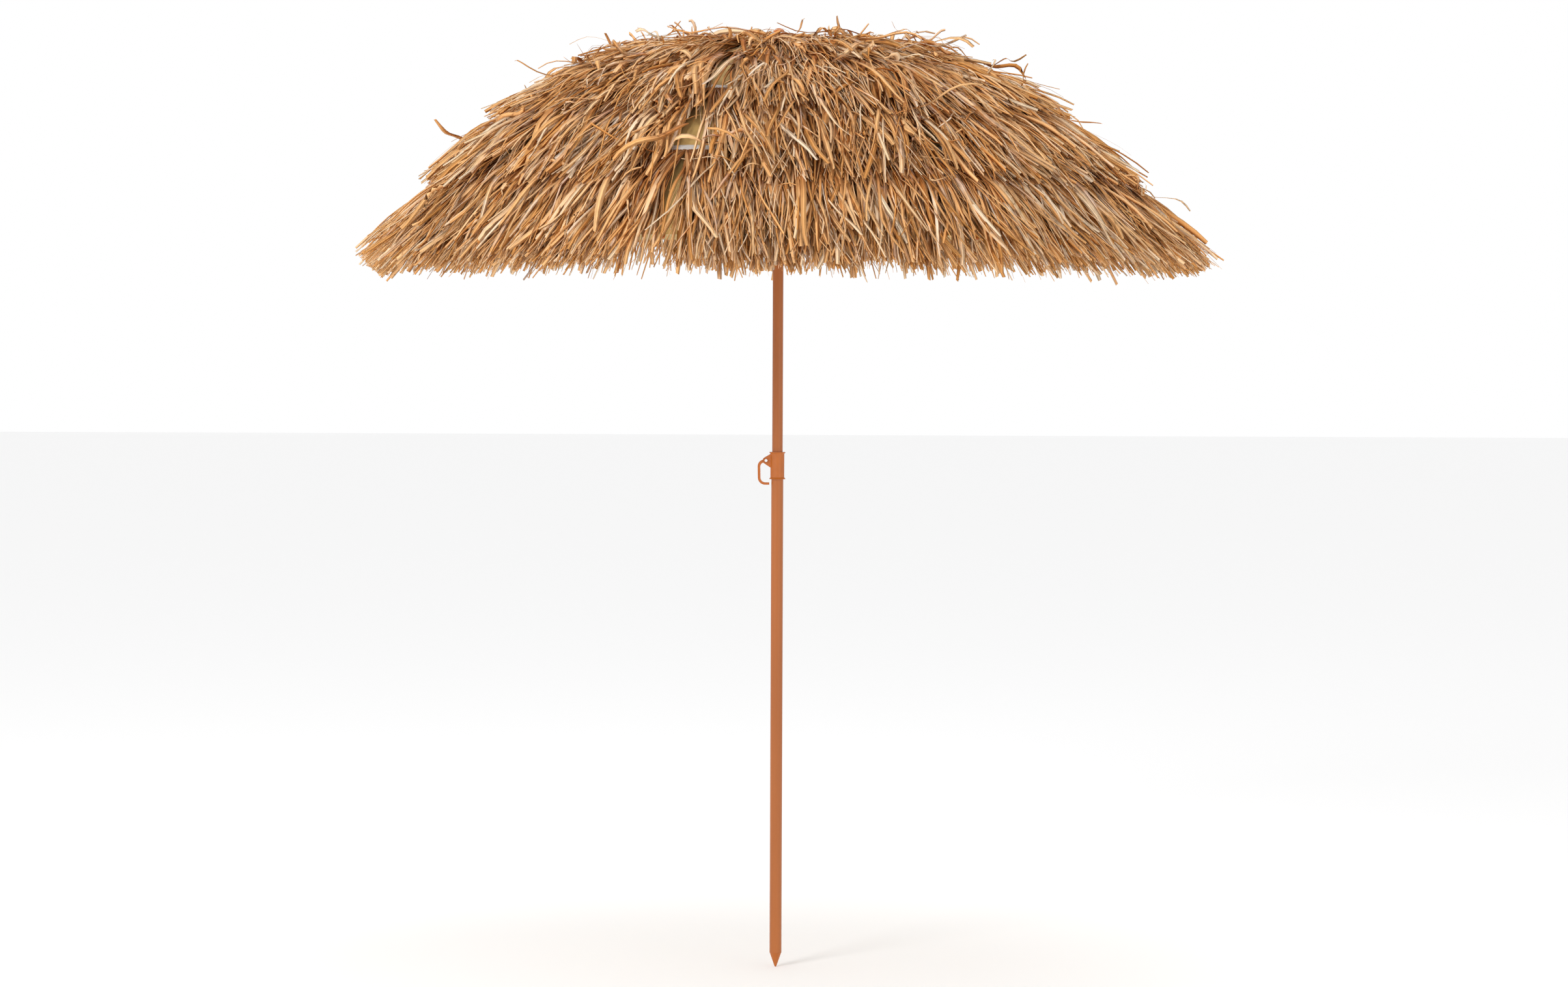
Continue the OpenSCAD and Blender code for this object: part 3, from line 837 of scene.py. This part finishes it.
        radius = tree.math("SUBTRACT", apothem, self.product(tangent_z, lift))
        level = self.total(height, self.product(tangent_r, lift))
        across = self.total(self.across(side, apothem, stray), sideways)
        turn = self.total(self.of("Rib Turn"), self.product(side, HALF_PANEL))
        turn = self.total(turn, self.product(self.centred(21), self.of("Turn Spread")))
        local = tree.add("ShaderNodeCombineXYZ", {"X": radius, "Y": across, "Z": level}).outputs[0]
        inputs = {"Vector": local, "Angle": turn}
        turned = tree.add("ShaderNodeVectorRotate", inputs, rotation_type="Z_AXIS").outputs[0]
        inputs = {"Geometry": copies.outputs["Geometry"], "Position": turned}
        moved = tree.add("GeometryNodeSetPosition", inputs).outputs[0]
        smooth = tree.add("GeometryNodeSetShadeSmooth", {"Geometry": self.strips(moved)}).outputs[0]
        end_geometry_tree(tree, smooth, self.of("Material"))
        return tree.nodes


# --- The ribs and stretchers --------------------------------------------------------------


@dataclass
class Skeleton:
    """The round steel rods: eight curved ribs and eight stretchers, with their eyes and hooks."""

    curve: RibCurve
    steel: bpy.types.Material
    rib_radius: float = 0.002
    stretcher_radius: float = 0.0018
    hook_radius: float = 0.0012
    hook_drop: float = 0.0033
    hook_back: float = 0.0027
    hook_above: float = 0.0015

    def placed(self, number: int, r: float, z: float) -> Vector:
        """A point of a rib's plane, turned to its place round the pole."""
        turn = self.curve.turn(number)
        return Vector((r * math.cos(turn), r * math.sin(turn), z))

    def rod(
        self, name: str, path: Sequence[Vector], radius: float, tree: bpy.types.NodeTree
    ) -> bpy.types.Object:
        """Draw a round rod along a path."""
        values = {"Radius": radius, "Sides": 16, "Material": self.steel}
        return run_nodes(name, tree, polyline(name, path), values)

    def eye(
        self, number: int, centre: tuple[float, float], inner: float, outer: float, half: float
    ) -> bpy.types.Object:
        """Press a flat eye, with a hole across the rib's plane.

        Args:
            number: The rib's number.
            centre: Radius and height of the hole's middle.
            inner: Radius of the hole.
            outer: Radius of the eye.
            half: Half the eye's width.

        Returns:
            The eye.
        """
        soft = 0.25 * (outer - inner)
        outline = [
            (inner, -half + soft),
            (inner + soft, -half),
            (outer - soft, -half),
            (outer, -half + soft),
            (outer, half - soft),
            (outer - soft, half),
            (inner + soft, half),
            (inner, half - soft),
        ]
        piece = lathe("eye", outline, 24)
        turn = Matrix.Rotation(self.curve.turn(number), 4, "Z") @ Matrix.Rotation(math.pi / 2, 4, "X")
        piece.data.transform(Matrix.Translation(self.placed(number, *centre)) @ turn)
        return piece

    def join(self, name: str, pieces: Sequence[bpy.types.Object]) -> bpy.types.Object:
        """Join finished pieces into one, dressed in steel."""
        work = bmesh.new()
        for piece in pieces:
            work.from_mesh(piece.data)
            bpy.data.objects.remove(piece)
        joined = mesh_object(name, [], [])
        work.to_mesh(joined.data)
        work.free()
        joined.data.polygons.foreach_set("use_smooth", [True] * len(joined.data.polygons))
        wear(joined, self.steel)
        return joined

    def rib(self, number: int, tree: bpy.types.NodeTree) -> bpy.types.Object:
        """Bend one rib and press its eye on the crown's wire."""
        path = [self.placed(number, *self.curve.point(s)) for s in np.linspace(0.0021, self.curve.length, 60)]
        rod = self.rod("rod", path, self.rib_radius, tree)
        eye = self.eye(number, self.curve.pivot, 0.00135, 0.0027, 0.0018)
        piece = self.join(f"rib_rod_{number}", [rod, eye])
        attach(piece, f"rib_{number}")
        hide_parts(f"rib_{number}")
        return piece

    def stretcher(self, number: int, tree: bpy.types.NodeTree) -> bpy.types.Object:
        """Cut one stretcher, with an eye on the rib's clip and a hook under the runner's wire."""
        x, y, rivet_z = JOINTS[f"stretcher_{number}_fold"]["pos_m"]
        rivet_r = math.hypot(x, y)
        low, high = (v.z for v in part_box("runner_wire"))
        hook_r, hook_z = self.curve.pivot[0] - self.hook_back, 0.5 * (low + high) - self.hook_drop
        start, end = self.placed(number, hook_r, hook_z), self.placed(number, rivet_r, rivet_z)
        along = (end - start).normalized()
        rod = self.rod("rod", [start, end - 0.0024 * along], self.stretcher_radius, tree)
        top = start + Vector((0.0, 0.0, self.hook_drop + self.hook_above))
        finger = self.rod("finger", [start, top], self.hook_radius, tree)
        eye = self.eye(number, (rivet_r, rivet_z), 0.0016, 0.0033, 0.0012)
        piece = self.join(f"stretcher_rod_{number}", [rod, finger, eye])
        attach(piece, f"stretcher_{number}")
        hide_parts(f"stretcher_{number}")
        return piece

    def build(self) -> None:
        """Build every rib and stretcher."""
        tree = rod_tree()
        for number in RIB_NUMBERS:
            self.rib(number, tree)
            self.stretcher(number, tree)
            log.info("rib %d and its stretcher", number)


# --- The canopy ---------------------------------------------------------------------------


@dataclass(frozen=True)
class Tier:
    """One tier of straws: where its tape lies along the rib, and how its straws fall."""

    name: str
    tape_at: float
    straws: int
    length: float
    spread: float
    lifts: tuple[float, float]
    rise: float = 0.35
    depth: float = 0.013
    drift: float = 0.045
    kink: float = 0.07
    frizz: float = 0.005
    parting: float = 1.0
    taped: bool = True


@dataclass
class Canopy:
    """The fabric gores, the header tapes with their stitches, and the tiers of straws."""

    curve: RibCurve
    raffia: bpy.types.Material
    canvas: bpy.types.Material
    tape: bpy.types.Material
    thread: bpy.types.Material
    tiers: tuple[Tier, ...] = (
        Tier("tuft", 0.030, 130, 0.230, 0.50, (0.002, 0.008), 1.0, 0.003, 0.09, 0.012, 0.003, taped=False),
        Tier("crown", 0.110, 400, 0.300, 0.42, (0.003, 0.012), 0.6, 0.008, 0.100, 0.05, 0.006),
        Tier("upper", 0.300, 580, 0.325, 0.40, (0.004, 0.020), 0.5, 0.011, 0.095, 0.10, 0.007),
        Tier("lower", 0.483, 740, 0.330, 0.34, (0.004, 0.028), 0.5, 0.013, 0.080, 0.10, 0.006),
        Tier("fringe", 0.682, 980, 0.340, 0.28, (0.004, 0.034), 0.4, 0.013, 0.060, 0.09, 0.006, parting=0.7),
    )
    partings: tuple[float, ...] = (-0.05, 0.40, 0.60, 0.52, 0.42, 0.60, 0.46, 0.55)
    loose_straws: int = 56
    cloth_start: float = 0.012
    cloth_lift: float = 0.0042
    cloth_thickness: float = 0.0006
    cloth_sag: float = 0.005
    rows: int = 30
    columns: int = 12
    tape_width: float = 0.020
    tape_thickness: float = 0.0008
    straw_width: float = 0.0074
    stitch_lift: float = 0.0022
    tape_gap: float = 0.0012
    hem_inset: float = 0.014
    seam_share: float = 0.97
    straw_clearance: float = 0.0025
    flat: tuple[float, float] = field(init=False, default=(0.0, 0.0))
    flat_area: float = field(init=False, default=0.0)

    def surface(self, number: int, s: float, q: float, lift: float) -> Vector:
        """A point over the fabric of one rib's gore.

        Args:
            number: The rib's number.
            s: Distance along the rib.
            q: -1 and 1 in the middle of the panels, 0 on the rib.
            lift: Height over the rib's own line.

        Returns:
            The point.
        """
        down = math.sin(math.pi * min(s / self.curve.length, 1.0))
        sag = self.cloth_sag * math.sin(0.5 * math.pi * abs(q)) * down
        r, z = self.curve.point(s, lift - sag)
        turn = self.curve.turn(number)
        on_rib = Vector((r * math.cos(turn), r * math.sin(turn), z))
        middle = turn + math.copysign(HALF_PANEL, q)
        reach = r * math.cos(HALF_PANEL)
        in_middle = Vector((reach * math.cos(middle), reach * math.sin(middle), z))
        return on_rib.lerp(in_middle, abs(q))

    def closed_sheet(
        self, name: str, grid: list[list[Vector]], under: list[list[Vector]]
    ) -> bpy.types.Object:
        """Make a closed thin solid from the upper and lower grids of a sheet, with its flat UV map.

        Args:
            name: The piece's name.
            grid: The upper points, row by row.
            under: The lower points, in the same order.

        Returns:
            The sheet.
        """
        rows, columns = len(grid), len(grid[0])
        points = [p for row in grid for p in row] + [p for row in under for p in row]
        size = rows * columns
        faces = []
        for j in range(rows - 1):
            for k in range(columns - 1):
                a = j * columns + k
                quad = (a, a + columns, a + columns + 1, a + 1)
                faces += [quad, tuple(size + v for v in reversed(quad))]
        rim = list(range(columns))
        rim += [j * columns + columns - 1 for j in range(1, rows)]
        rim += [(rows - 1) * columns + k for k in range(columns - 2, -1, -1)]
        rim += [j * columns for j in range(rows - 2, 0, -1)]
        faces += [(a, b, size + b, size + a) for a, b in zip(rim, rim[1:] + rim[:1])]
        piece = mesh_object(name, points, faces)
        self.lay_flat(piece, grid)
        return piece

    def lay_flat(self, piece: bpy.types.Object, grid: list[list[Vector]]) -> None:
        """Give a sheet its UV map in flat metres, measured along its rows and columns."""
        columns = len(grid[0])
        size = len(grid) * columns
        flat = {}
        down = 0.0
        for j, row in enumerate(grid):
            if j:
                down += (row[columns // 2] - grid[j - 1][columns // 2]).length
            steps = [0.0]
            for a, b in zip(row, row[1:]):
                steps.append(steps[-1] + (b - a).length)
            for k, x in enumerate(steps):
                flat[j * columns + k] = (x - steps[-1] / 2, down)
        layer = piece.data.uv_layers.new(name="cloth")
        for loop in piece.data.loops:
            layer.data[loop.index].uv = flat[loop.vertex_index % size]

    def fabric(self, number: int) -> bpy.types.Object:
        """Cut and hang the fabric of one rib's gore, from mid panel to mid panel."""
        stations = np.linspace(self.cloth_start, self.curve.length, self.rows)
        shares = np.linspace(-1.0, 1.0, self.columns + 1)
        top = self.cloth_lift + self.cloth_thickness
        grid = [[self.surface(number, s, q, top) for q in shares] for s in stations]
        under = [[self.surface(number, s, q, self.cloth_lift) for q in shares] for s in stations]
        piece = self.closed_sheet(f"fabric_{number}", grid, under)
        wear(piece, self.canvas)
        area = sum(
            0.5 * ((grid[j + 1][k] - grid[j][k + 1]).cross(grid[j + 1][k + 1] - grid[j][k])).length
            for j in range(self.rows - 1)
            for k in range(self.columns)
        )
        width = 2 * self.curve.point(self.curve.length)[0] * math.sin(HALF_PANEL)
        self.flat = (width, self.curve.length - self.cloth_start)
        self.flat_area = area
        return piece

    def header(self, number: int, tier: Tier) -> bpy.types.Object:
        """Lay one tier's header tape over a gore."""
        shares = np.linspace(-1.0, 1.0, self.columns + 1)
        stations = np.linspace(tier.tape_at - self.tape_width, tier.tape_at, 4)
        base = self.cloth_lift + self.cloth_thickness + self.tape_gap
        grid = [[self.surface(number, s, q, base + self.tape_thickness) for q in shares] for s in stations]
        under = [[self.surface(number, s, q, base) for q in shares] for s in stations]
        piece = self.closed_sheet(f"tape_{tier.name}_{number}", grid, under)
        wear(piece, self.tape)
        return piece

    def stitches(self, name: str, path: list[Vector], tree: bpy.types.NodeTree) -> bpy.types.Object:
        """Sew a row of stitches along a path."""
        piece = run_nodes(name, tree, polyline("seam", path), {"Material": self.thread})
        return piece

    def seams(self, number: int, tree: bpy.types.NodeTree) -> list[bpy.types.Object]:
        """Sew a gore's tapes, its hem and its two joining seams."""
        shares = np.linspace(-0.99, 0.99, 13)
        on_tape = self.cloth_lift + self.cloth_thickness + self.stitch_lift
        in_cloth = self.cloth_lift + 0.5 * self.cloth_thickness
        rows = []
        for tier in self.tiers:
            if tier.taped:
                row_at = tier.tape_at - 0.3 * self.tape_width
                path = [self.surface(number, row_at, q, on_tape) for q in shares]
                rows.append(self.stitches(f"stitches_{tier.name}_{number}", path, tree))
        hem = [self.surface(number, self.curve.length - self.hem_inset, q, in_cloth) for q in shares]
        rows.append(self.stitches(f"stitches_hem_{number}", hem, tree))
        for side in Side:
            stations = np.linspace(0.05, self.curve.length - 0.004, 40)
            path = [self.surface(number, s, self.seam_share * side.value, in_cloth) for s in stations]
            rows.append(self.stitches(f"stitches_{side.name.lower()}_{number}", path, tree))
        return rows

    def guide(self, stations: Sequence[float], lifts: Sequence[float]) -> tuple[bpy.types.Object, float]:
        """Draw the middle line that straws follow down the middle of a panel.

        Args:
            stations: Distances along the rib.
            lifts: Heights over the rib's line at those distances.

        Returns:
            The line, and its first point's distance from the pole's axis.
        """
        points = []
        for s, lift in zip(stations, lifts):
            r, z = self.curve.point(s, lift)
            points.append((r * math.cos(HALF_PANEL), 0.0, z))
        line = polyline("guide", points)
        room = line.data.attributes.new("room", "FLOAT", "POINT")
        clear = self.cloth_lift + self.straw_clearance
        room.data.foreach_set("value", [max(float(lift) - clear, 0.0) for lift in lifts])
        return line, points[0][0]

    def straws(self, number: int, tier: Tier, tree: bpy.types.NodeTree) -> bpy.types.Object:
        """Hang one tier's straws over a gore."""
        parts = np.linspace(0.0, 1.15, 25)
        stations = tier.tape_at - 0.004 + parts * tier.length
        low, high = tier.lifts
        lifts = low + (high - low) * np.minimum(parts / tier.rise, 1.0) ** 0.7 + 0.008 * parts**3
        lifts += self.cloth_lift
        line, apothem = self.guide(stations, lifts)
        values = {
            "Straws": tier.straws,
            "Seed": 10 * number + self.tiers.index(tier),
            "Length": tier.length,
            "Length Spread": tier.spread,
            "Width": self.straw_width,
            "Rib Turn": self.curve.turn(number),
            "Tape Apothem": apothem,
            "Tape Half Length": apothem * math.tan(HALF_PANEL),
            "Splay": 1.0 - (1.0 - self.partings[number - 1]) * tier.parting,
            "Drift": tier.drift,
            "Layer Depth": tier.depth,
            "Kink": tier.kink,
            "Frizz": tier.frizz,
            "Material": self.raffia,
        }
        piece = run_nodes(f"straws_{tier.name}_{number}", tree, line, values)
        return piece

    def loose(self, number: int, tree: bpy.types.NodeTree) -> bpy.types.Object:
        """Scatter a few loose straws over a gore's tiers, lying every way."""
        stations = np.linspace(0.10, self.curve.length, 40)
        lifts = 0.008 + 0.036 * np.minimum(stations / 0.4, 1.0)
        line, apothem = self.guide(stations, lifts)
        values = {
            "Straws": self.loose_straws,
            "Seed": 10 * number + 7,
            "Length": 0.17,
            "Length Spread": 0.6,
            "Start Spread": 0.72,
            "Width": self.straw_width,
            "Rib Turn": self.curve.turn(number),
            "Tape Apothem": apothem,
            "Tape Half Length": apothem * math.tan(HALF_PANEL),
            "Splay": 1.0,
            "Heading Spread": 2.4,
            "Layer Depth": 0.012,
            "Frizz": 0.012,
            "Kink": 0.06,
            "Stray Share": 0.3,
            "Material": self.raffia,
        }
        piece = run_nodes(f"straws_loose_{number}", tree, line, values)
        return piece

    def cap(self, tree: bpy.types.NodeTree) -> bpy.types.Object:
        """Ring the crown with short straws all the way round, just under the finial's washer."""
        droop = ((0.012, 1.933), (0.03, 1.933), (0.055, 1.924), (0.09, 1.898))
        line = polyline("guide", [(r, 0.0, z) for r, z in droop])
        values = {
            "Straws": 300,
            "Seed": 5,
            "Length": 0.078,
            "Length Spread": 0.5,
            "Width": 0.6 * self.straw_width,
            "Turn Spread": math.pi,
            "Tape Apothem": 0.010,
            "Tape Half Length": 0.006,
            "Splay": 0.0,
            "Drift": 0.06,
            "Layer Depth": 0.003,
            "Frizz": 0.003,
            "Kink": 0.01,
            "Stray Share": 0.0,
            "Material": self.raffia,
        }
        piece = run_nodes("straws_cap", tree, line, values)
        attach(piece, "upper_pole")
        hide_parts("thatch_cap")
        return piece

    def build(self) -> None:
        """Build every gore with its tapes, stitches and straws, and tie each to its rib."""
        straws, stitches = StrawTree().build(), stitch_tree()
        self.cap(straws)
        for number in RIB_NUMBERS:
            cloth = self.fabric(number)
            on_it = [self.loose(number, straws), *self.seams(number, stitches)]
            for tier in self.tiers:
                if tier.taped:
                    on_it.append(self.header(number, tier))
                on_it.append(self.straws(number, tier, straws))
            for piece in (cloth, *on_it):
                fold_with(piece, number)
            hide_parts(f"canopy_gore_{number}")
            log.info("gore %d: fabric and %d pieces on it", number, len(on_it))


# --- The studio ---------------------------------------------------------------------------


@dataclass
class Studio:
    """The pale floor, the soft lights and the camera."""

    distance: float = 9.2
    eye_height: float = 1.45
    aim_height: float = 0.988
    aim_side: float = 0.014
    frame_width: float = 3.251
    sensor: float = 36.0
    roll: float = 0.23
    lights: dict = field(
        default_factory=lambda: {
            "key": ((-3.2, -4.6, 3.6), 2.0, 150.0),
            "fill": ((4.0, -4.8, 2.0), 3.5, 40.0),
            "top": ((0.6, 0.6, 5.2), 2.4, 30.0),
        }
    )

    def camera(self) -> None:
        """Set the camera level with the canopy's rim, looking a little down at the pole."""
        data = bpy.data.cameras.new("camera")
        data.sensor_width = self.sensor
        data.lens = self.sensor * self.distance / self.frame_width
        camera = bpy.data.objects.new("camera", data)
        bpy.context.scene.collection.objects.link(camera)
        place = Vector((self.aim_side, -self.distance, self.eye_height))
        aim = Vector((self.aim_side, 0.0, self.aim_height))
        look = (aim - place).to_track_quat("-Z", "Y").to_matrix().to_4x4()
        roll = Matrix.Rotation(math.radians(self.roll), 4, "Z")
        camera.matrix_world = Matrix.Translation(place) @ look @ roll
        bpy.context.scene.camera = camera

    def floor(self) -> None:
        """Lay the pale floor."""
        half = 30.0
        piece = mesh_object(
            "floor", [(-half, -half, 0), (half, -half, 0), (half, half, 0), (-half, half, 0)], [(0, 1, 2, 3)]
        )
        material, _, shader = start_material("pale_floor", Roughness=0.9)
        shader.inputs["Base Color"].default_value = (0.92, 0.92, 0.92, 1.0)
        piece.data.materials.append(material)

    def light(self) -> None:
        """Hang the soft lights and set the pale surroundings."""
        for name, (place, size, power) in self.lights.items():
            data = bpy.data.lights.new(name, "AREA")
            data.shape = "DISK"
            data.size = size
            data.energy = power
            lamp = bpy.data.objects.new(name, data)
            bpy.context.scene.collection.objects.link(lamp)
            aim = Vector((0.0, 0.0, 1.3)) - Vector(place)
            lamp.matrix_world = Matrix.Translation(place) @ aim.to_track_quat("-Z", "Y").to_matrix().to_4x4()
        world = bpy.data.worlds.new("studio")
        world.use_nodes = True
        world.node_tree.nodes["Background"].inputs["Color"].default_value = (1.0, 1.0, 1.0, 1.0)
        world.node_tree.nodes["Background"].inputs["Strength"].default_value = 1.0
        bpy.context.scene.world = world
        bpy.context.scene.view_settings.view_transform = "Standard"

    def build(self) -> None:
        """Set the whole studio up."""
        self.camera()
        self.floor()
        self.light()


def main() -> None:
    """Build the umbrella's pieces in order."""
    logging.basicConfig(level=logging.INFO, format="%(name)s: %(message)s")
    Studio().build()
    paint, plastic, bush, steel, zinc = (f.make() for f in (PAINT, PLASTIC, BUSH, STEEL, ZINC))
    for node, material in {
        "lower_tube": paint,
        "upper_tube": paint,
        "lever_rivet": paint,
        "spike_tip": plastic,
        "clamp_collar": plastic,
        "clamp_lever": plastic,
        "guide_bushing": bush,
        "crown_hub": plastic,
        "crown_wire": zinc,
        "crown_plug": bush,
        "crown_washer": zinc,
        "finial": plastic,
        "runner_stop_pin": zinc,
        "runner_catch": zinc,
        "runner": plastic,
        "runner_wire": zinc,
    }.items():
        dress_node(node, material)
    for number in RIB_NUMBERS:
        dress_node(f"rib_clip_{number}", zinc)
        dress_node(f"rib_tip_{number}", plastic)
    Skeleton(CURVE, steel).build()
    Canopy(CURVE, Raffia().make(), CANVAS.make(), TAPE.make(), THREAD.make()).build()


if __name__ == "__main__":
    main()
